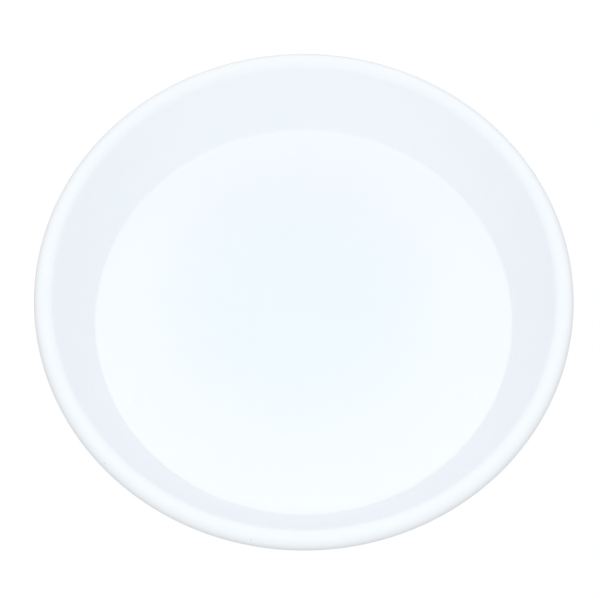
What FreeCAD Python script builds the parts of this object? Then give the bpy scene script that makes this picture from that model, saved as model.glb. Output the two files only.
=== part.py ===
import FreeCAD, Part

import math
import os

import Sketcher

# A shallow round dish with a flat floor, a flared side wall and a round bead along its rim.
# The real dish is one moulding. Here that moulding is drawn as one body and then divided, along
# surfaces that both neighbours share, into the zones a person would name: floor, side_wall and
# rim_bead. The foot_ring meets the underside of the floor.
#
# Frame: +Z is up along the dish's axis, and the origin is the centre of the foot ring's lower
# face, so the dish stands on the plane Z = 0. Millimetres and degrees.

SIZES = (
    ("rim_diameter", 100.0, "outside diameter, over the bead"),
    ("inside_depth", 14.0, "from the top of the bead down to the floor"),
    ("wall_flare", 27.0, "how far the side wall leans outwards from upright, in degrees"),
    ("wall_thickness", 1.8, "side wall, measured square to it"),
    ("floor_thickness", 1.8, "floor"),
    ("corner_radius", 0.8, "inside, between the floor and the side wall"),
    ("heel_radius", 3.0, "outside, between the underside and the side wall"),
    ("bead_diameter", 3.8, "section of the round bead"),
    ("bead_fillet", 0.5, "under the bead, where it meets the outside of the wall"),
    ("neck_margin", 0.2, "straight wall kept with the bead, below that fillet"),
    ("foot_height", 1.0, "foot ring, below the underside of the floor"),
    ("foot_width", 2.0, "foot ring at its lower face"),
    ("foot_inset", 3.8, "from the floor's edge in to the outside of the foot ring"),
    ("foot_draft", 5.0, "taper of the foot ring's two sides, in degrees"),
    ("foot_edge", 0.3, "rounding of the foot ring's two lower edges"),
    ("mark_count", 3, "ejector pin marks in the floor"),
    ("mark_diameter", 3.0, "ejector pin mark"),
    ("mark_depth", 0.1, "how far an ejector pin mark is sunk"),
    ("mark_margin", 4.6, "from the floor's edge in to the centre of a mark"),
    ("gate_diameter", 2.0, "gate mark under the centre of the floor"),
    ("gate_height", 0.2, "how far the gate mark stands below the underside"),
)

# The formulas below place one zone against another. They are expressions on the sheet's cells.
FLARE = "Sizes.wall_flare"
BEAD_RADIUS = "(Sizes.bead_diameter / 2)"
UNDERSIDE = "Sizes.foot_height"
FLOOR_LEVEL = "(Sizes.foot_height + Sizes.floor_thickness)"
BEAD_CENTRE_RADIUS = f"(Sizes.rim_diameter / 2 - {BEAD_RADIUS})"
BEAD_CENTRE_RISE = f"(Sizes.inside_depth - {BEAD_RADIUS})"
# The floor's edge is where the line of the wall's inside, which touches the bead, meets the floor.
FLOOR_RADIUS = (f"({BEAD_CENTRE_RADIUS} - {BEAD_CENTRE_RISE} * tan({FLARE})"
                f" - {BEAD_RADIUS} / cos({FLARE}))")
# The flat of the floor ends where the inside corner's rounding begins.
FLAT_RADIUS = f"({FLOOR_RADIUS} - Sizes.corner_radius * tan((90 - {FLARE}) / 2))"
# Down the wall from the bead's centre to the lower end of the fillet under the bead.
FILLET_REACH = (f"sqrt(({BEAD_RADIUS} + Sizes.bead_fillet) ^ 2"
                f" - (Sizes.bead_fillet + Sizes.wall_thickness - {BEAD_RADIUS}) ^ 2)")
# The bead's zone ends on a cone, square to the wall, and this is that cone's apex on the axis.
NECK_APEX = (f"({FLOOR_LEVEL} + {BEAD_CENTRE_RISE} + {BEAD_CENTRE_RADIUS} * tan({FLARE})"
             f" - ({FILLET_REACH} + Sizes.neck_margin) / cos({FLARE}))")

START, END, CENTRE = 1, 2, 3
HORIZONTAL_AXIS, VERTICAL_AXIS = -1, -2
AXIS_ORIGIN = (HORIZONTAL_AXIS, START)

doc = FreeCAD.newDocument("Dish")


def make_sheet():
    """The driving sizes, one row each: alias, value, meaning."""
    sheet = doc.addObject("Spreadsheet::Sheet", "Sizes")
    for row, (alias, value, meaning) in enumerate(SIZES, start=1):
        sheet.set(f"A{row}", alias)
        sheet.set(f"B{row}", str(value))
        sheet.set(f"C{row}", meaning)
        sheet.setAlias(f"B{row}", alias)
    doc.recompute()
    return sheet


sizes = make_sheet()


def make_body(label):
    body = doc.addObject("PartDesign::Body", label)
    body.Label = label
    body.Placement = FreeCAD.Placement()
    return body


def make_sketch(body, name, plane_role, height=None):
    """A sketch on one of the body's own planes, lifted to a height where one is given."""
    sketch = body.newObject("Sketcher::SketchObject", name)
    plane = next(item for item in body.Origin.OriginFeatures if item.Role == plane_role)
    sketch.AttachmentSupport = [(plane, "")]
    sketch.MapMode = "FlatFace"
    if height:
        sketch.setExpression("AttachmentOffset.Base.z", height)
    return sketch


def bind(sketch, constraint, formula):
    """Add a dimension to a sketch and bind it to a formula on the sheet."""
    index = sketch.addConstraint(constraint)
    sketch.setExpression(f"Constraints[{index}]", formula)


def revolve(body, sketch):
    revolution = body.newObject("PartDesign::Revolution", f"{body.Label}_revolution")
    revolution.Profile = sketch
    revolution.ReferenceAxis = (sketch, ["V_Axis"])
    revolution.Angle = 360.0
    sketch.Visibility = False
    doc.recompute()
    return revolution


def line(start, end):
    return Part.LineSegment(FreeCAD.Vector(*start, 0), FreeCAD.Vector(*end, 0))


def arc(centre, radius, first_angle, last_angle):
    """An anticlockwise arc between two angles in radians."""
    circle = Part.Circle(FreeCAD.Vector(*centre, 0), FreeCAD.Vector(0, 0, 1), radius)
    return Part.ArcOfCircle(circle, first_angle, last_angle)


def draw_section(sketch):
    """Half of the moulding's section: X is the distance from the axis and Y is the height.

    The lines and arcs are first drawn where they belong, and the constraints then hold them.
    """
    flare = math.radians(sizes.wall_flare)
    lean = (math.sin(flare), math.cos(flare))
    bead_radius = sizes.bead_diameter / 2
    bead = (sizes.rim_diameter / 2 - bead_radius,
            sizes.foot_height + sizes.floor_thickness + sizes.inside_depth - bead_radius)
    floor_level = sizes.foot_height + sizes.floor_thickness

    def beside_wall(outwards, height):
        """The point at a height on the line parallel to the wall's inside, that far outside it."""
        across = (bead[0] - (bead_radius - outwards) * lean[1],
                  bead[1] + (bead_radius - outwards) * lean[0])
        along = (height - across[1]) / lean[1]
        return (across[0] + along * lean[0], height)

    corner_centre = beside_wall(-sizes.corner_radius, floor_level + sizes.corner_radius)
    heel_centre = beside_wall(sizes.wall_thickness - sizes.heel_radius,
                              sizes.foot_height + sizes.heel_radius)
    fillet_across = sizes.bead_fillet + sizes.wall_thickness - bead_radius
    fillet_along = math.sqrt((bead_radius + sizes.bead_fillet) ** 2 - fillet_across ** 2)
    fillet_centre = (bead[0] + fillet_across * lean[1] - fillet_along * lean[0],
                     bead[1] - fillet_across * lean[0] - fillet_along * lean[1])
    to_bead = math.atan2(bead[1] - fillet_centre[1], bead[0] - fillet_centre[0])
    outwards = -flare
    inwards = math.pi - flare
    down = -math.pi / 2

    def on_circle(centre, radius, angle):
        return (centre[0] + radius * math.cos(angle), centre[1] + radius * math.sin(angle))

    heel_top = on_circle(heel_centre, sizes.heel_radius, outwards)
    fillet_foot = on_circle(fillet_centre, sizes.bead_fillet, inwards)
    bead_inside = on_circle(bead, bead_radius, inwards)
    corner_top = on_circle(corner_centre, sizes.corner_radius, outwards)

    underside = sketch.addGeometry(line((0, sizes.foot_height), (heel_centre[0], sizes.foot_height)))
    heel = sketch.addGeometry(arc(heel_centre, sizes.heel_radius, down, outwards))
    outer_wall = sketch.addGeometry(line(heel_top, fillet_foot))
    fillet = sketch.addGeometry(arc(fillet_centre, sizes.bead_fillet, to_bead, inwards))
    rim = sketch.addGeometry(arc(bead, bead_radius, to_bead - math.pi, inwards))
    inner_wall = sketch.addGeometry(line(corner_top, bead_inside))
    corner = sketch.addGeometry(arc(corner_centre, sizes.corner_radius, down, outwards))
    floor_top = sketch.addGeometry(line((corner_centre[0], floor_level), (0, floor_level)))
    axis_side = sketch.addGeometry(line((0, floor_level), (0, sizes.foot_height)))

    for first, first_end, second, second_end in (
            (underside, END, heel, START), (heel, END, outer_wall, START),
            (outer_wall, END, fillet, END), (fillet, START, rim, START),
            (rim, END, inner_wall, END), (inner_wall, START, corner, END),
            (corner, START, floor_top, START)):
        sketch.addConstraint(Sketcher.Constraint("Tangent", first, first_end, second, second_end))
    sketch.addConstraint(Sketcher.Constraint("Coincident", floor_top, END, axis_side, START))
    sketch.addConstraint(Sketcher.Constraint("Coincident", axis_side, END, underside, START))
    sketch.addConstraint(Sketcher.Constraint("PointOnObject", floor_top, END, VERTICAL_AXIS))
    sketch.addConstraint(Sketcher.Constraint("PointOnObject", underside, START, VERTICAL_AXIS))
    sketch.addConstraint(Sketcher.Constraint("Horizontal", underside))
    sketch.addConstraint(Sketcher.Constraint("Horizontal", floor_top))
    sketch.addConstraint(Sketcher.Constraint("Parallel", outer_wall, inner_wall))

    make = Sketcher.Constraint
    bind(sketch, make("DistanceY", *AXIS_ORIGIN, underside, START, sizes.foot_height), UNDERSIDE)
    bind(sketch, make("DistanceY", *AXIS_ORIGIN, floor_top, END, floor_level), FLOOR_LEVEL)
    bind(sketch, make("DistanceX", *AXIS_ORIGIN, rim, CENTRE, bead[0]), BEAD_CENTRE_RADIUS)
    bind(sketch, make("DistanceY", floor_top, END, rim, CENTRE, bead[1] - floor_level),
         BEAD_CENTRE_RISE)
    bind(sketch, make("Radius", rim, bead_radius), BEAD_RADIUS)
    bind(sketch, make("Radius", fillet, sizes.bead_fillet), "Sizes.bead_fillet")
    bind(sketch, make("Radius", corner, sizes.corner_radius), "Sizes.corner_radius")
    bind(sketch, make("Radius", heel, sizes.heel_radius), "Sizes.heel_radius")
    bind(sketch, make("Angle", inner_wall, math.pi / 2 - flare), f"90 - {FLARE}")
    bind(sketch, make("Distance", outer_wall, START, inner_wall, sizes.wall_thickness),
         "Sizes.wall_thickness")


def make_moulding():
    """The floor, the wall and the bead as they are moulded: one revolved body with its marks."""
    body = make_body("moulding")
    section = make_sketch(body, "moulding_section", "XZ_Plane")
    draw_section(section)
    doc.recompute()
    revolve(body, section)

    mark = make_sketch(body, "mark_outline", "XY_Plane", FLOOR_LEVEL)
    circle = mark.addGeometry(Part.Circle(FreeCAD.Vector(0, 1, 0), FreeCAD.Vector(0, 0, 1), 1))
    mark.addConstraint(Sketcher.Constraint("PointOnObject", circle, CENTRE, VERTICAL_AXIS))
    bind(mark, Sketcher.Constraint("DistanceY", *AXIS_ORIGIN, circle, CENTRE, 1),
         f"{FLOOR_RADIUS} - Sizes.mark_margin")
    bind(mark, Sketcher.Constraint("Diameter", circle, 1), "Sizes.mark_diameter")
    doc.recompute()
    cut_mark(body, mark)
    add_gate(body)
    return body


def cut_mark(body, outline):
    """Sink one ejector pin mark into the floor and repeat it round the axis."""
    volume_before = body.Shape.Volume
    pocket = body.newObject("PartDesign::Pocket", "pin_mark")
    pocket.Profile = outline
    pocket.setExpression("Length", "Sizes.mark_depth")
    outline.Visibility = False
    doc.recompute()
    pattern = body.newObject("PartDesign::PolarPattern", "pin_marks")
    pattern.Originals = [pocket]
    pattern.Axis = (outline, ["N_Axis"])
    pattern.Angle = 360.0
    pattern.setExpression("Occurrences", "Sizes.mark_count")
    body.Tip = pattern
    doc.recompute()
    removed = volume_before - body.Shape.Volume
    expected = sizes.mark_count * math.pi / 4 * sizes.mark_diameter ** 2 * sizes.mark_depth
    if abs(removed - expected) > 0.001 * expected:
        raise RuntimeError(f"the pin marks removed {removed:.4f} mm3, not {expected:.4f}")


def add_gate(body):
    """The small round mark that the mould's gate leaves under the centre of the floor."""
    outline = make_sketch(body, "gate_outline", "XY_Plane", UNDERSIDE)
    circle = outline.addGeometry(Part.Circle(FreeCAD.Vector(0, 0, 0), FreeCAD.Vector(0, 0, 1), 1))
    outline.addConstraint(Sketcher.Constraint("Coincident", circle, CENTRE, *AXIS_ORIGIN))
    bind(outline, Sketcher.Constraint("Diameter", circle, 2), "Sizes.gate_diameter")
    doc.recompute()
    pad = body.newObject("PartDesign::Pad", "gate_mark")
    pad.Profile = outline
    pad.Reversed = True
    pad.setExpression("Length", "Sizes.gate_height")
    outline.Visibility = False
    doc.recompute()


def make_foot_ring():
    """A low tapered ring that stands on the table and meets the underside of the floor."""
    body = make_body("foot_ring")
    sketch = make_sketch(body, "foot_section", "XZ_Plane")
    spread = sizes.foot_height * math.tan(math.radians(sizes.foot_draft))
    # A place to start from. The dimension bound to the floor's edge then sets it.
    outside = 0.36 * sizes.rim_diameter
    inside = outside - sizes.foot_width
    base = sketch.addGeometry(line((inside, 0), (outside, 0)))
    outer_side = sketch.addGeometry(line((outside, 0), (outside + spread, sizes.foot_height)))
    top = sketch.addGeometry(line((outside + spread, sizes.foot_height),
                                  (inside - spread, sizes.foot_height)))
    inner_side = sketch.addGeometry(line((inside - spread, sizes.foot_height), (inside, 0)))
    for first, second in ((base, outer_side), (outer_side, top), (top, inner_side),
                          (inner_side, base)):
        sketch.addConstraint(Sketcher.Constraint("Coincident", first, END, second, START))
    sketch.addConstraint(Sketcher.Constraint("Horizontal", top))
    sketch.addConstraint(Sketcher.Constraint("PointOnObject", base, START, HORIZONTAL_AXIS))
    sketch.addConstraint(Sketcher.Constraint("PointOnObject", base, END, HORIZONTAL_AXIS))
    make = Sketcher.Constraint
    bind(sketch, make("DistanceX", *AXIS_ORIGIN, base, END, outside),
         f"{FLOOR_RADIUS} - Sizes.foot_inset")
    bind(sketch, make("DistanceX", base, START, base, END, sizes.foot_width), "Sizes.foot_width")
    bind(sketch, make("DistanceY", *AXIS_ORIGIN, top, START, sizes.foot_height), UNDERSIDE)
    draft = math.radians(sizes.foot_draft)
    bind(sketch, make("Angle", outer_side, math.pi / 2 - draft), "90 - Sizes.foot_draft")
    bind(sketch, make("Angle", inner_side, draft - math.pi / 2), "Sizes.foot_draft - 90")
    doc.recompute()
    revolution = revolve(body, sketch)
    lower_edges = [f"Edge{number}" for number, edge in enumerate(revolution.Shape.Edges, start=1)
                   if edge.BoundBox.ZMax < sizes.foot_height / 2]
    rounding = body.newObject("PartDesign::Fillet", "foot_rounding")
    rounding.Base = (revolution, lower_edges)
    rounding.setExpression("Radius", "Sizes.foot_edge")
    doc.recompute()
    return body


def divide(moulding):
    """Divide the moulding into its zones along a cylinder and a cone."""
    flat = doc.addObject("Part::Cylinder", "flat_of_floor")
    flat.setExpression("Radius", FLAT_RADIUS)
    flat.setExpression("Height", FLOOR_LEVEL)
    below_bead = doc.addObject("Part::Cone", "below_bead")
    below_bead.setExpression("Radius1", f"{NECK_APEX} / tan({FLARE})")
    below_bead.Radius2 = 0.0
    below_bead.setExpression("Height", NECK_APEX)

    floor = doc.addObject("Part::Common", "floor")
    floor.Base = moulding
    floor.Tool = flat
    beyond_floor = doc.addObject("Part::Cut", "beyond_floor")
    beyond_floor.Base = moulding
    beyond_floor.Tool = flat
    side_wall = doc.addObject("Part::Common", "side_wall")
    side_wall.Base = beyond_floor
    side_wall.Tool = below_bead
    rim_bead = doc.addObject("Part::Cut", "rim_bead")
    rim_bead.Base = moulding
    rim_bead.Tool = below_bead
    zones = (floor, side_wall, rim_bead)
    for zone in zones:
        zone.Label = zone.Name
        zone.Placement = FreeCAD.Placement()
    doc.recompute()
    return zones


def check(nodes, moulding):
    """Stop before anything is written if a feature failed, or the zones don't add up."""
    for item in doc.Objects:
        if "Invalid" in item.State or "Error" in item.State:
            raise RuntimeError(f"{item.Label} failed: {item.State}")
    for node in nodes:
        if node.Shape.isNull() or not node.Shape.isValid() or len(node.Shape.Solids) != 1:
            raise RuntimeError(f"{node.Label} isn't one valid solid")
    whole = moulding.Shape.Volume
    divided = sum(node.Shape.Volume for node in nodes if node.Label != "foot_ring")
    if abs(divided - whole) > 1e-6 * whole:
        raise RuntimeError(f"the zones hold {divided:.4f} mm3 of the moulding's {whole:.4f}")


moulding = make_moulding()
foot_ring = make_foot_ring()
nodes = (*divide(moulding), foot_ring)
check(nodes, moulding)

os.makedirs("parts", exist_ok=True)
for node in nodes:
    node.Shape.exportStep(f"parts/{node.Label}.step")
    print(f"{node.Label}: {node.Shape.Volume:.2f} mm3")
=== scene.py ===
import math

import bpy
from bpy.props import FloatProperty, FloatVectorProperty, IntProperty, PointerProperty
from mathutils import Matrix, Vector
from mathutils.geometry import delaunay_2d_cdt


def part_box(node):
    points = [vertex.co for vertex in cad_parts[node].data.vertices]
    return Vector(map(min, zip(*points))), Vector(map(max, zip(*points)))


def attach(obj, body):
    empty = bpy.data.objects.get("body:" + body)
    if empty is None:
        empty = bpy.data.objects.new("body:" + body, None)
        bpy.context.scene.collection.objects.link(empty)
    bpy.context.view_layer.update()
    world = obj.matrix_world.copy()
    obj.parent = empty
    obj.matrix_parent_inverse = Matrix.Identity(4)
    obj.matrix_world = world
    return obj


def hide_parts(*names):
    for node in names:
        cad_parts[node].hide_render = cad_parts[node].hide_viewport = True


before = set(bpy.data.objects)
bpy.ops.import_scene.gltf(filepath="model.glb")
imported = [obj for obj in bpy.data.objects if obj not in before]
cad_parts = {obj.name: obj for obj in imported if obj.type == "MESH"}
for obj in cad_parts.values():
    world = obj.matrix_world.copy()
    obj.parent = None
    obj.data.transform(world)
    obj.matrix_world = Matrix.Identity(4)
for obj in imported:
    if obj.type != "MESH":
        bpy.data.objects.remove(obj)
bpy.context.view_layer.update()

bl_info = {
    "name": "Evaporating Dish",
    "version": (1, 0, 0),
    "blender": (4, 5, 0),
    "location": "View3D > Sidebar > Dish",
    "description": "A shallow white moulded dish with a round bead along its rim",
    "category": "Object",
}

MM = 0.001

# The levels and radii that the frame gives. The floor's own lowest point is its gate mark.
RIM_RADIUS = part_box("rim_bead")[1].x
RIM_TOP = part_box("rim_bead")[1].z
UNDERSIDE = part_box("foot_ring")[1].z
FLOOR_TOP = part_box("floor")[1].z
FLAT_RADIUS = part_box("floor")[1].x
GATE_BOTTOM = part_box("floor")[0].z

# How many steps each round or straight run of the section takes.
HEEL_STEPS, HEEL_EDGE_STEPS, CORNER_STEPS = 18, 2, 14
BEAD_STEPS, FILLET_STEPS = 56, 10
FOOT_EDGE_STEPS, LIP_STEPS = 6, 4
WALL_STEPS, NECK_STEPS = 8, 2

# Frequencies of the plastic's patterns, in noise cells for each metre. Streaks take theirs round the
# axis, in cells for each radian or so, and then along a spoke. A set of scuffs has the frequencies
# along and across its lines, and the way that they run.
STREAK_CELLS = (9.0, 30.0)
MOTTLE_CELLS = 60.0
GRAIN_CELLS = 2600.0
SCUFF_SETS = (((35.0, 1900.0, 600.0), math.radians(24.0)),
              ((45.0, 1600.0, 600.0), math.radians(-58.0)))


# ---------------------------------------------------------------- settings

class DishSizes(bpy.types.PropertyGroup):
    """Sizes that the frame's boxes don't give, the same as the solid model's"""
    bead_diameter: FloatProperty(name="Bead diameter", description="Section of the rim's round bead",
                                 default=3.8 * MM, unit="LENGTH", precision=5)
    bead_fillet: FloatProperty(name="Bead fillet", description="Radius under the bead, where it meets the wall",
                               default=0.5 * MM, unit="LENGTH", precision=5)
    neck_margin: FloatProperty(name="Neck margin", description="Straight wall kept with the bead",
                               default=0.2 * MM, unit="LENGTH", precision=5)
    wall_flare: FloatProperty(name="Wall flare", description="How far the side wall leans out from upright",
                              default=math.radians(27.0), subtype="ANGLE")
    wall_thickness: FloatProperty(name="Wall thickness", description="Side wall, square to it",
                                  default=1.8 * MM, unit="LENGTH", precision=5)
    corner_radius: FloatProperty(name="Corner radius", description="Inside, between floor and wall",
                                 default=0.8 * MM, unit="LENGTH", precision=5)
    heel_radius: FloatProperty(name="Heel radius", description="Outside, between underside and wall",
                               default=3.0 * MM, unit="LENGTH", precision=5)
    foot_inset: FloatProperty(name="Foot inset", description="From the floor's edge in to the foot ring",
                              default=3.8 * MM, unit="LENGTH", precision=5)
    foot_width: FloatProperty(name="Foot width", description="Foot ring at its lower face",
                              default=2.0 * MM, unit="LENGTH", precision=5)
    foot_draft: FloatProperty(name="Foot draft", description="Taper of the foot ring's sides",
                              default=math.radians(5.0), subtype="ANGLE")
    foot_edge: FloatProperty(name="Foot edge", description="Rounding of the foot ring's lower edges",
                             default=0.3 * MM, unit="LENGTH", precision=5)
    mark_count: IntProperty(name="Pin marks", description="Ejector pin marks in the floor", default=3)
    mark_diameter: FloatProperty(name="Pin mark diameter", description="Ejector pin mark",
                                 default=3.0 * MM, unit="LENGTH", precision=5)
    mark_depth: FloatProperty(name="Pin mark depth", description="How far a pin mark is sunk",
                              default=0.1 * MM, unit="LENGTH", precision=5)
    mark_margin: FloatProperty(name="Pin mark margin", description="From the floor's edge in to a mark's centre",
                               default=4.6 * MM, unit="LENGTH", precision=5)
    mark_lip: FloatProperty(name="Pin mark lip", description="Rounding of a pin mark's two edges",
                            default=0.04 * MM, unit="LENGTH", precision=6)
    gate_diameter: FloatProperty(name="Gate mark", description="Round mark under the centre of the floor",
                                 default=2.0 * MM, unit="LENGTH", precision=5)
    segments: IntProperty(name="Segments", description="Divisions round the axis", default=288)
    mark_segments: IntProperty(name="Pin mark segments", description="Divisions round a pin mark", default=64)


class DishFinish(bpy.types.PropertyGroup):
    """The plastic's colours, surface and marks of use, and the painted shade over the floor's middle"""
    plastic: FloatVectorProperty(name="Plastic", description="Colour of the white plastic", subtype="COLOR",
                                 size=3, min=0.0, max=1.0, default=(0.914, 0.955, 0.992))
    # Painted shade: the floor's middle is painted duller and bluer, a little off the axis, and fades out to the plain
    # plastic; it stands in for the shade that falls there, not for a colour of the plastic.
    painted_floor_shade: FloatVectorProperty(name="Painted floor shade", description="Colour of the duller plastic round the gate",
                                   subtype="COLOR", size=3, min=0.0, max=1.0, default=(0.861, 0.935, 0.970))
    painted_shade_core: FloatProperty(name="Painted floor shade core", description="How far out the duller plastic stays even",
                             default=13.0 * MM, unit="LENGTH")
    painted_shade_reach: FloatProperty(name="Painted floor shade reach", description="How far out the duller plastic fades",
                              default=35.5 * MM, unit="LENGTH")
    painted_shade_drift: FloatVectorProperty(name="Painted floor shade drift", description="How far it lies to one side of the gate",
                                    size=3, unit="LENGTH", default=(-1.0 * MM, 2.5 * MM, 0.0))
    roughness: FloatProperty(name="Roughness", description="Of the plastic's fine satin skin", default=0.42)
    grain_depth: FloatProperty(name="Grain depth", description="Of the satin skin, in millimetres",
                               default=0.003)
    flow_tone: FloatProperty(name="Flow tone", description="Strength of the flow streaks and mottle", default=0.025)
    scuffing: FloatProperty(name="Scuffing", description="Roughness that hairline scuffs add", default=0.08)
    soiling: FloatProperty(name="Soiling", description="Grey on the foot's worn face and the parting line",
                           default=0.12)
    soil: FloatVectorProperty(name="Soil", description="Colour of that grey", subtype="COLOR",
                              size=3, min=0.0, max=1.0, default=(0.42, 0.40, 0.37))
    foot_wear: FloatProperty(name="Foot wear", description="How far up the foot ring its wear reaches",
                             default=0.3 * MM, unit="LENGTH", precision=5)
    rim_wear: FloatProperty(name="Rim wear", description="How far down the bead its rubbed top reaches",
                            default=0.5 * MM, unit="LENGTH", precision=5)
    parting_width: FloatProperty(name="Parting width", description="Fine line round the bead, where the mould parts",
                                 default=0.07 * MM, unit="LENGTH", precision=6)
    left_fleck: FloatVectorProperty(name="Left fleck", description="Place of a dark fleck of pigment in the bead",
                                    size=3, unit="LENGTH", default=(-35.50 * MM, -34.44 * MM, 16.22 * MM))
    near_fleck: FloatVectorProperty(name="Near fleck", description="Place of another, nearer the front",
                                    size=3, unit="LENGTH", default=(-9.28 * MM, -48.47 * MM, 16.33 * MM))
    fleck_radius: FloatProperty(name="Fleck radius", description="Of both flecks", default=0.13 * MM,
                                unit="LENGTH", precision=6)
    fleck: FloatVectorProperty(name="Fleck", description="Colour of both flecks", subtype="COLOR",
                               size=3, min=0.0, max=1.0, default=(0.10, 0.11, 0.12))


class StudioLight(bpy.types.PropertyGroup):
    """The soft light, the floor and the camera"""
    overhead_power: FloatProperty(name="Overhead power", description="Soft lamp above the dish",
                                  default=2.33, subtype="POWER")
    overhead_tilt: FloatProperty(name="Overhead tilt", description="How far that lamp leans towards the front",
                                 default=math.radians(17.0), subtype="ANGLE")
    back_power: FloatProperty(name="Back power", description="Low soft lamp on the far side",
                              default=0.80, subtype="POWER")
    back_tilt: FloatProperty(name="Back tilt", description="How far that lamp leans away from overhead",
                             default=math.radians(65.0), subtype="ANGLE")
    lamp_size: FloatProperty(name="Lamp size", description="Width of both lamps", default=0.6, unit="LENGTH")
    lamp_distance: FloatProperty(name="Lamp distance", description="From the dish to both lamps",
                                 default=0.9, unit="LENGTH")
    surroundings: FloatProperty(name="Surroundings", description="Level of the even light from all round",
                                default=0.732)
    ground_grey: FloatProperty(name="Ground grey", description="How pale the ground is to the light", default=0.62)
    ground_glow: FloatProperty(name="Ground glow", description="Level of the white that the camera sees",
                               default=1.07)
    ground_cover: FloatProperty(name="Ground cover", description="How far that white covers the ground and its shadow",
                                default=0.88)
    camera_elevation: FloatProperty(name="Camera elevation", description="Above the horizon",
                                    default=math.radians(66.61), subtype="ANGLE")
    camera_distance: FloatProperty(name="Camera distance", description="In rim radii",
                                   default=7.443)
    camera_lens: FloatProperty(name="Camera lens", description="Focal length in millimetres",
                               default=120.3)
    camera_right: FloatProperty(name="Camera to the right", description="In rim radii", default=-0.0141)
    camera_up: FloatProperty(name="Camera up", description="In rim radii", default=-0.0390)


# ---------------------------------------------------------------- meshes

class Shell:
    """Collects points, faces and the normal at each face's corners, then makes a mesh of them."""

    def __init__(self):
        self.points = []
        self.faces = []
        self.normals = []

    def point(self, place):
        self.points.append(Vector(place))
        return len(self.points) - 1

    def ring(self, radius, height, count, centre=(0.0, 0.0)):
        """Points round an upright axis, or one point where the radius is nothing."""
        if radius == 0.0:
            return [self.point((centre[0], centre[1], height))] * count
        return [self.point((centre[0] + radius * math.cos(turn), centre[1] + radius * math.sin(turn), height))
                for turn in (math.tau * step / count for step in range(count))]

    def face(self, corners, normals):
        """A face, with corners that fall on one point dropped."""
        kept = [n for n, corner in enumerate(corners) if corner != corners[n - 1]]
        if len(kept) > 2:
            self.faces.append([corners[n] for n in kept])
            self.normals.extend(Vector(normals[n]).normalized() for n in kept)

    def band(self, first, second, first_normal, second_normal):
        """Faces between two rings; a normal is its part away from the axis and its part upwards."""
        count = len(first)
        for step in range(count):
            after = (step + 1) % count
            here, there = math.tau * step / count, math.tau * (step + 1) / count
            corners = (first[step], first[after], second[after], second[step])
            normals = [(out * math.cos(turn), out * math.sin(turn), up)
                       for (out, up), turn in ((first_normal, here), (first_normal, there),
                                               (second_normal, there), (second_normal, here))]
            self.face(corners, normals)

    def turn(self, runs, count, centre=(0.0, 0.0)):
        """Turn runs of an outline round an axis, and return the rings at its two ends.

        A run is a list of ((radius, height), normal), and each starts where the last one ended.
        """
        ring = first_ring = self.ring(*runs[0][0][0], count, centre)
        closed = (Vector(runs[0][0][0]) - Vector(runs[-1][-1][0])).length < 1e-7
        for number, run in enumerate(runs):
            for step in range(1, len(run)):
                ends_loop = closed and number == len(runs) - 1 and step == len(run) - 1
                following = first_ring if ends_loop else self.ring(*run[step][0], count, centre)
                self.band(ring, following, run[step - 1][1], run[step][1])
                ring = following
        return first_ring, ring

    def finish(self, name, material):
        mesh = bpy.data.meshes.new(name)
        mesh.from_pydata(self.points, [], self.faces)
        mesh.shade_smooth()
        mesh.normals_split_custom_set(self.normals)
        mesh.materials.append(material)
        piece = bpy.data.objects.new(name, mesh)
        bpy.context.scene.collection.objects.link(piece)
        return piece


def straight(start, end, steps=1):
    """A straight run of an outline, whose outside is on its right."""
    start, end = Vector(start), Vector(end)
    along = (end - start).normalized()
    normal = (along.y, -along.x)
    return [(tuple(start.lerp(end, step / steps)), normal) for step in range(steps + 1)]


def bend(centre, radius, first, last, steps):
    """A round run of an outline; it bulges outwards where its angle grows."""
    side = 1.0 if last > first else -1.0
    run = []
    for step in range(steps + 1):
        turn = first + (last - first) * step / steps
        out, up = math.cos(turn), math.sin(turn)
        run.append(((centre[0] + radius * out, centre[1] + radius * up), (side * out, side * up)))
    return run


def on_circle(centre, radius, angle):
    return centre + radius * Vector((math.cos(angle), math.sin(angle)))


class Section:
    """Half of the dish's section, as places and angles: X is away from the axis and Y is up."""

    def __init__(self, sizes):
        flare = sizes.wall_flare
        self.up_wall = Vector((math.sin(flare), math.cos(flare)))
        self.off_wall = Vector((math.cos(flare), -math.sin(flare)))
        self.outwards = -flare
        self.inwards = math.pi - flare
        self.bead_radius = sizes.bead_diameter / 2
        self.bead = Vector((RIM_RADIUS - self.bead_radius, RIM_TOP - self.bead_radius))
        inner_line = self.bead - self.bead_radius * self.off_wall
        self.floor_edge = inner_line.x - (inner_line.y - FLOOR_TOP) * math.tan(flare)
        self.corner = Vector((FLAT_RADIUS, FLOOR_TOP + sizes.corner_radius))
        heel_level = UNDERSIDE + sizes.heel_radius
        self.heel = Vector((inner_line.x - (inner_line.y - heel_level) * math.tan(flare)
                            + (sizes.wall_thickness - sizes.heel_radius) / math.cos(flare), heel_level))
        self.heel_cut = -math.acos((FLAT_RADIUS - self.heel.x) / sizes.heel_radius)
        across = sizes.bead_fillet + sizes.wall_thickness - self.bead_radius
        along = math.sqrt((self.bead_radius + sizes.bead_fillet) ** 2 - across ** 2)
        self.fillet = self.bead + across * self.off_wall - along * self.up_wall
        to_bead = self.bead - self.fillet
        self.fillet_end = math.atan2(to_bead.y, to_bead.x)
        neck = along + sizes.neck_margin
        self.neck_inside = inner_line - neck * self.up_wall
        self.neck_outside = self.neck_inside + sizes.wall_thickness * self.off_wall


# ---------------------------------------------------------------- shaders

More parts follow.
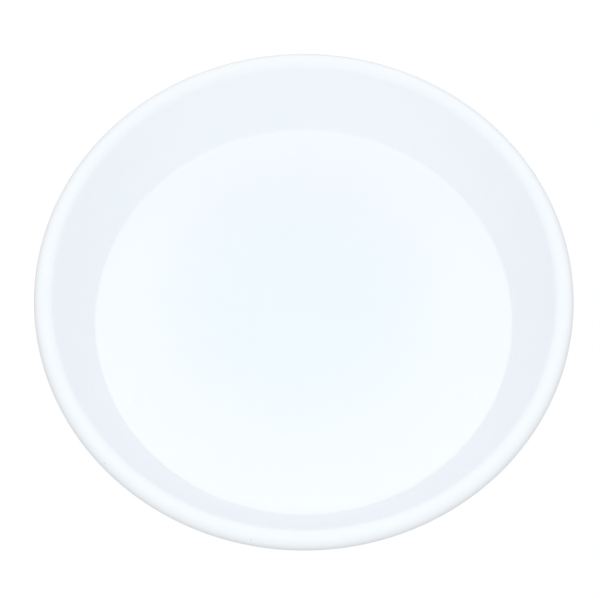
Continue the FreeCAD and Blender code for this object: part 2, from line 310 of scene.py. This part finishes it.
class Wire:
    """A socket in a node tree. Sums and products of wires and numbers add Math nodes."""

    def __init__(self, graph, socket):
        self.graph = graph
        self.socket = socket

    def _maths(self, operation, first, second):
        return self.graph.add("ShaderNodeMath", {"operation": operation}, {0: first, 1: second})

    def __add__(self, other):
        return self._maths("ADD", self, other)

    def __radd__(self, other):
        return self._maths("ADD", other, self)

    def __sub__(self, other):
        return self._maths("SUBTRACT", self, other)

    def __rsub__(self, other):
        return self._maths("SUBTRACT", other, self)

    def __mul__(self, other):
        return self._maths("MULTIPLY", self, other)

    def __rmul__(self, other):
        return self._maths("MULTIPLY", other, self)

    def __gt__(self, other):
        return self._maths("GREATER_THAN", self, other)


class Graph:
    """A node tree that is filled with one call for each node."""

    def __init__(self, owner):
        owner.use_nodes = True
        self.tree = owner.node_tree
        self.tree.nodes.clear()

    def add(self, kind, settings=None, inputs=None, output=0):
        """Add a node: its settings first, then the values or wires of its sockets."""
        node = self.tree.nodes.new(kind)
        for name, value in (settings or {}).items():
            setattr(node, name, value)
        for key, value in (inputs or {}).items():
            if isinstance(value, Wire):
                self.tree.links.new(value.socket, node.inputs[key])
            else:
                node.inputs[key].default_value = value
        return Wire(self, node.outputs[output]) if len(node.outputs) else node

    def fade(self, value, start, end, first, last):
        """Change smoothly from one level to another while a value goes from start to end."""
        return self.add("ShaderNodeMapRange", {"interpolation_type": "SMOOTHSTEP"},
                        {"Value": value, "From Min": start, "From Max": end, "To Min": first, "To Max": last})

    def noise(self, place, scale, detail=2.0):
        return self.add("ShaderNodeTexNoise", {}, {"Vector": place, "Scale": scale, "Detail": detail}, "Fac")

    def vector(self, operation, inputs, output="Vector"):
        return self.add("ShaderNodeVectorMath", {"operation": operation}, inputs, output)

    def mix(self, factor, first, second, blend="MIX"):
        """Mix two colours, each a wire or three levels."""
        first, second = (colour if isinstance(colour, Wire) else (*colour, 1.0) for colour in (first, second))
        return self.add("ShaderNodeMix", {"data_type": "RGBA", "blend_type": blend},
                        {"Factor": factor, "A": first, "B": second}, "Result")

    def hairlines(self, place, cells, turn):
        """Sparse thin lines that all run one way: the highest crests of a drawn-out noise."""
        turned = self.add("ShaderNodeVectorRotate", {"rotation_type": "Z_AXIS"}, {"Vector": place, "Angle": turn})
        crests = self.noise(self.vector("MULTIPLY", {0: turned, 1: cells}), 1.0, 1.0)
        return self.fade(crests, 0.68, 0.76, 0.0, 1.0)

    def near(self, place, centre, start, end):
        """One within a distance of a place, and nothing beyond a further one."""
        return self.fade(self.vector("DISTANCE", {0: place, 1: tuple(centre)}, "Value"), start, end, 1.0, 0.0)


def white_plastic(finish, sizes):
    """Satin white plastic as it leaves the mould, with light marks of use and painted shade over the floor's middle.
    """
    material = bpy.data.materials.get("white_plastic")
    if material:
        return material
    material = bpy.data.materials.new("white_plastic")
    graph = Graph(material)
    place = graph.add("ShaderNodeTexCoord", output="Object")
    level = graph.add("ShaderNodeSeparateXYZ", {}, {"Vector": place}, "Z")
    spoke = graph.vector("MULTIPLY", {0: place, 1: (1.0, 1.0, 0.0)})
    reach = graph.vector("LENGTH", {0: spoke}, "Value")

    # The melt runs outwards from the gate and leaves faint streaks along its way, none close to the gate.
    round_axis, along_spoke = STREAK_CELLS
    bearing = graph.vector("NORMALIZE", {0: spoke})
    along = graph.add("ShaderNodeCombineXYZ", {}, {"Z": reach * along_spoke})
    flow = graph.noise(graph.vector("MULTIPLY_ADD", {0: bearing, 1: (round_axis, round_axis, 0.0), 2: along}),
                       1.0, 4.0)
    streaks = (flow - 0.5) * graph.fade(reach, 5.0 * MM, 28.0 * MM, 0.0, 1.0)
    mottle = graph.noise(place, MOTTLE_CELLS, 3.0)
    grain = graph.noise(place, GRAIN_CELLS)
    first_scuffs, second_scuffs = (graph.hairlines(place, *scuff_set) for scuff_set in SCUFF_SETS)
    scuffs = first_scuffs + second_scuffs

    # The mould parts along the bead's widest line, on the outside only.
    off_middle = level - (RIM_TOP - sizes.bead_diameter / 2)
    from_line = graph.add("ShaderNodeMath", {"operation": "ABSOLUTE"}, {0: off_middle})
    parting = (graph.fade(from_line, 0.0, finish.parting_width, 1.0, 0.0)
               * (reach > RIM_RADIUS - sizes.bead_diameter / 8))

    worn_foot = graph.fade(level, 0.0, finish.foot_wear, 1.0, 0.0) * graph.fade(mottle, 0.3, 0.7, 0.4, 1.0)
    rubbed_rim = graph.fade(level, RIM_TOP - finish.rim_wear, RIM_TOP, 0.0, 1.0)
    left, front = (graph.near(place, centre, finish.fleck_radius / 2, finish.fleck_radius)
                   for centre in (finish.left_fleck, finish.near_fleck))

    # Painted shade: the floor's middle takes the duller colour and fades to the plain plastic further out, standing in
    # for how the light falls on the floor.
    painted_shade_mask = graph.near(spoke, finish.painted_shade_drift, finish.painted_shade_core, finish.painted_shade_reach)
    colour = graph.mix(painted_shade_mask, finish.plastic, finish.painted_floor_shade)
    colour = graph.mix(finish.flow_tone, colour, 0.25 + 0.5 * (streaks + mottle), "MULTIPLY")
    colour = graph.mix(finish.soiling * (worn_foot + 0.5 * parting), colour, finish.soil)
    colour = graph.mix(0.5 * (left + front), colour, finish.fleck)
    relief = finish.grain_depth * grain + 0.02 * parting - 0.002 * scuffs
    shader = graph.add("ShaderNodeBsdfPrincipled", {},
                       {"Base Color": colour,
                        "Roughness": (finish.roughness + 0.06 * (mottle - 0.5) + 0.05 * streaks
                                      + finish.scuffing * scuffs + 0.15 * worn_foot - 0.06 * rubbed_rim),
                        "Normal": graph.add("ShaderNodeBump", {}, {"Height": relief, "Distance": MM}),
                        "IOR": 1.49})
    graph.add("ShaderNodeOutputMaterial", {}, {"Surface": shader})
    return material


# ---------------------------------------------------------------- pieces

def place_piece(shell, name, node, scene):
    """Make a shell's mesh stand for a node of the frame."""
    piece = shell.finish(name, white_plastic(scene.dish_finish, scene.dish_sizes))
    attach(piece, "root")
    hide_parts(node)


class DISH_OT_floor(bpy.types.Operator):
    """Build the floor with its ejector pin marks and gate mark"""
    bl_idname = "dish.floor"
    bl_label = "Floor"

    def execute(self, context):
        sizes = context.scene.dish_sizes
        section = Section(sizes)
        shell = Shell()
        lip = sizes.mark_lip
        gate = sizes.gate_diameter / 2
        runs = [straight((0.0, GATE_BOTTOM), (gate - lip, GATE_BOTTOM)),
                bend((gate - lip, GATE_BOTTOM + lip), lip, -math.pi / 2, 0.0, LIP_STEPS),
                straight((gate, GATE_BOTTOM + lip), (gate, UNDERSIDE)),
                straight((gate, UNDERSIDE), (section.heel.x, UNDERSIDE)),
                bend(section.heel, sizes.heel_radius, -math.pi / 2, section.heel_cut, HEEL_EDGE_STEPS)]
        runs.append(straight(runs[-1][-1][0], (FLAT_RADIUS, FLOOR_TOP)))
        edge = shell.turn(runs, sizes.segments)[1]
        lips = [self.pin_mark(shell, sizes, section, number) for number in range(sizes.mark_count)]
        self.flat(shell, edge, lips)
        place_piece(shell, "dish_floor", "floor", context.scene)
        return {"FINISHED"}

    def pin_mark(self, shell, sizes, section, number):
        """Sink one round mark and return its outer ring, which lies in the floor."""
        turn = math.pi / 2 + math.tau * number / sizes.mark_count
        reach = section.floor_edge - sizes.mark_margin
        centre = (reach * math.cos(turn), reach * math.sin(turn))
        radius, lip = sizes.mark_diameter / 2, sizes.mark_lip
        bottom = FLOOR_TOP - sizes.mark_depth
        runs = [bend((radius + lip, FLOOR_TOP - lip), lip, math.pi / 2, math.pi, LIP_STEPS),
                straight((radius, FLOOR_TOP - lip), (radius, bottom + lip)),
                bend((radius - lip, bottom + lip), lip, 0.0, -math.pi / 2, LIP_STEPS),
                straight((radius - lip, bottom), (0.0, bottom))]
        return shell.turn(runs, sizes.mark_segments, centre)[0]

    def flat(self, shell, edge, lips):
        """Fill the floor between its edge and the marks."""
        loops = [edge, *lips]
        corners = [corner for loop in loops for corner in loop]
        flat_places = [shell.points[corner].to_2d() for corner in corners]
        sides, start = [], 0
        for loop in loops:
            sides += [(start + step, start + (step + 1) % len(loop)) for step in range(len(loop))]
            start += len(loop)
        _, _, faces, origins, _, _ = delaunay_2d_cdt(flat_places, sides, [], 0, 1e-9)
        for face in faces:
            face = [corners[origins[corner][0]] for corner in face]
            if not any(set(face) <= set(lip) for lip in lips):
                shell.face(face, [(0.0, 0.0, 1.0)] * len(face))


class DISH_OT_side_wall(bpy.types.Operator):
    """Build the flared side wall with its rounded corner and heel"""
    bl_idname = "dish.side_wall"
    bl_label = "Side wall"

    def execute(self, context):
        sizes = context.scene.dish_sizes
        section = Section(sizes)
        corner_top = on_circle(section.corner, sizes.corner_radius, section.outwards)
        heel_top = on_circle(section.heel, sizes.heel_radius, section.outwards)
        runs = [bend(section.heel, sizes.heel_radius, section.heel_cut, section.outwards, HEEL_STEPS),
                straight(heel_top, section.neck_outside, WALL_STEPS),
                straight(section.neck_outside, section.neck_inside),
                straight(section.neck_inside, corner_top, WALL_STEPS),
                bend(section.corner, sizes.corner_radius, section.outwards, -math.pi / 2, CORNER_STEPS)]
        runs.append(straight((FLAT_RADIUS, FLOOR_TOP), runs[0][0][0]))
        shell = Shell()
        shell.turn(runs, sizes.segments)
        place_piece(shell, "dish_side_wall", "side_wall", context.scene)
        return {"FINISHED"}


class DISH_OT_rim_bead(bpy.types.Operator):
    """Build the round bead along the rim with the fine line where the mould parts"""
    bl_idname = "dish.rim_bead"
    bl_label = "Rim bead"

    def execute(self, context):
        sizes = context.scene.dish_sizes
        section = Section(sizes)
        fillet_start = on_circle(section.fillet, sizes.bead_fillet, section.inwards)
        bead_inside = on_circle(section.bead, section.bead_radius, section.inwards)
        bead_start = section.fillet_end - math.pi
        runs = [straight(section.neck_outside, fillet_start),
                bend(section.fillet, sizes.bead_fillet, section.inwards, section.fillet_end, FILLET_STEPS),
                bend(section.bead, section.bead_radius, bead_start, section.inwards, BEAD_STEPS),
                straight(bead_inside, section.neck_inside, NECK_STEPS),
                straight(section.neck_inside, section.neck_outside)]
        shell = Shell()
        shell.turn(runs, sizes.segments)
        place_piece(shell, "dish_rim_bead", "rim_bead", context.scene)
        return {"FINISHED"}


class DISH_OT_foot_ring(bpy.types.Operator):
    """Build the low foot ring under the floor"""
    bl_idname = "dish.foot_ring"
    bl_label = "Foot ring"

    def execute(self, context):
        sizes = context.scene.dish_sizes
        section = Section(sizes)
        outside = section.floor_edge - sizes.foot_inset
        inside = outside - sizes.foot_width
        edge, lean = sizes.foot_edge, sizes.foot_draft
        spread = UNDERSIDE * math.tan(lean)
        # A rounding between the level face and a drafted side touches both.
        pull = edge * math.tan(math.pi / 4 - lean / 2)
        outer, inner = Vector((outside - pull, edge)), Vector((inside + pull, edge))
        outer_end = on_circle(outer, edge, -lean)
        inner_end = on_circle(inner, edge, math.pi + lean)
        runs = [bend(inner, edge, math.pi + lean, 1.5 * math.pi, FOOT_EDGE_STEPS),
                straight((inner.x, 0.0), (outer.x, 0.0)),
                bend(outer, edge, -math.pi / 2, -lean, FOOT_EDGE_STEPS),
                straight(outer_end, (outside + spread, UNDERSIDE)),
                straight((outside + spread, UNDERSIDE), (inside - spread, UNDERSIDE)),
                straight((inside - spread, UNDERSIDE), inner_end)]
        shell = Shell()
        shell.turn(runs, sizes.segments)
        place_piece(shell, "dish_foot_ring", "foot_ring", context.scene)
        return {"FINISHED"}


# ---------------------------------------------------------------- stage

class DISH_OT_stage(bpy.types.Operator):
    """Build the pale floor, the soft light and the camera"""
    bl_idname = "dish.stage"
    bl_label = "Stage"

    def execute(self, context):
        light = context.scene.dish_light
        self.ground(light)
        self.lamp("overhead", light.overhead_power, light, -light.overhead_tilt)
        self.lamp("back", light.back_power, light, light.back_tilt)
        self.world(context.scene, light)
        self.camera(context.scene, light)
        context.scene.view_settings.view_transform = "Standard"
        return {"FINISHED"}

    def ground(self, light):
        """Pale ground that keeps the dish's shadow, whitened for the camera."""
        reach = 20.0
        corners = [(-reach, -reach, 0.0), (reach, -reach, 0.0), (reach, reach, 0.0), (-reach, reach, 0.0)]
        mesh = bpy.data.meshes.new("ground")
        mesh.from_pydata(corners, [], [(0, 1, 2, 3)])
        material = bpy.data.materials.new("ground")
        graph = Graph(material)
        path = graph.add("ShaderNodeLightPath", output="Is Camera Ray")
        matt = graph.add("ShaderNodeBsdfDiffuse", {}, {"Color": (*[light.ground_grey] * 3, 1.0)})
        glow = graph.add("ShaderNodeEmission", {}, {"Color": (1.0, 1.0, 1.0, 1.0), "Strength": light.ground_glow})
        shader = graph.add("ShaderNodeMixShader", {}, {0: path * light.ground_cover, 1: matt, 2: glow})
        graph.add("ShaderNodeOutputMaterial", {}, {"Surface": shader})
        mesh.materials.append(material)
        ground = bpy.data.objects.new("ground", mesh)
        bpy.context.scene.collection.objects.link(ground)

    def lamp(self, name, power, light, tilt):
        """A round soft lamp that faces the dish, tilted from overhead towards the back."""
        lamp = bpy.data.lights.new(name, "AREA")
        lamp.shape = "DISK"
        lamp.size = light.lamp_size
        lamp.energy = power
        holder = bpy.data.objects.new(name, lamp)
        towards = Vector((0.0, math.sin(tilt), math.cos(tilt)))
        holder.location = towards * light.lamp_distance
        holder.rotation_mode = "QUATERNION"
        holder.rotation_quaternion = towards.to_track_quat("Z", "Y")
        holder.visible_camera = holder.visible_glossy = False
        bpy.context.scene.collection.objects.link(holder)

    def world(self, scene, light):
        """Even light from all round, which the camera and reflections see as white."""
        world = bpy.data.worlds.new("surroundings")
        scene.world = world
        graph = Graph(world)
        kinds = {name: graph.add("ShaderNodeLightPath", output=name)
                 for name in ("Is Camera Ray", "Is Glossy Ray", "Is Transmission Ray")}
        seen = kinds["Is Camera Ray"] + kinds["Is Glossy Ray"] + kinds["Is Transmission Ray"]
        level = light.surroundings + (1.0 - light.surroundings) * seen
        background = graph.add("ShaderNodeBackground", {}, {"Color": (1.0, 1.0, 1.0, 1.0), "Strength": level})
        graph.add("ShaderNodeOutputWorld", {}, {"Surface": background})

    def camera(self, scene, light):
        """A camera in front of the dish that looks down into it."""
        data = bpy.data.cameras.new("camera")
        data.lens = light.camera_lens
        data.clip_start, data.clip_end = 0.01, 100.0
        holder = bpy.data.objects.new("camera", data)
        rise = light.camera_elevation
        back = Vector((0.0, -math.cos(rise), math.sin(rise)))
        up = Vector((0.0, math.sin(rise), math.cos(rise)))
        across = Vector((1.0, 0.0, 0.0))
        bead_level = Vector((0.0, 0.0, RIM_TOP - scene.dish_sizes.bead_diameter / 2))
        holder.location = bead_level + RIM_RADIUS * (light.camera_distance * back
                                                     + light.camera_right * across + light.camera_up * up)
        holder.rotation_mode = "QUATERNION"
        holder.rotation_quaternion = (-back).to_track_quat("-Z", "Y")
        scene.collection.objects.link(holder)
        scene.camera = holder


class DISH_PT_panel(bpy.types.Panel):
    """The dish's pieces in the sidebar"""
    bl_idname = "DISH_PT_panel"
    bl_label = "Evaporating Dish"
    bl_space_type = "VIEW_3D"
    bl_region_type = "UI"
    bl_category = "Dish"

    def draw(self, context):
        layout = self.layout
        for operator in OPERATORS:
            layout.operator(operator.bl_idname)
        for settings in (context.scene.dish_sizes, context.scene.dish_finish, context.scene.dish_light):
            box = layout.box()
            for name in settings.__annotations__:
                box.prop(settings, name)


OPERATORS = (DISH_OT_floor, DISH_OT_side_wall, DISH_OT_rim_bead, DISH_OT_foot_ring, DISH_OT_stage)
CLASSES = (DishSizes, DishFinish, StudioLight, *OPERATORS, DISH_PT_panel)


def register():
    for kind in CLASSES:
        bpy.utils.register_class(kind)
    bpy.types.Scene.dish_sizes = PointerProperty(type=DishSizes)
    bpy.types.Scene.dish_finish = PointerProperty(type=DishFinish)
    bpy.types.Scene.dish_light = PointerProperty(type=StudioLight)


def unregister():
    del bpy.types.Scene.dish_light
    del bpy.types.Scene.dish_finish
    del bpy.types.Scene.dish_sizes
    for kind in reversed(CLASSES):
        bpy.utils.unregister_class(kind)


def main():
    register()
    bpy.ops.dish.stage()
    bpy.ops.dish.floor()
    bpy.ops.dish.side_wall()
    bpy.ops.dish.rim_bead()
    bpy.ops.dish.foot_ring()


if __name__ == "__main__":
    main()
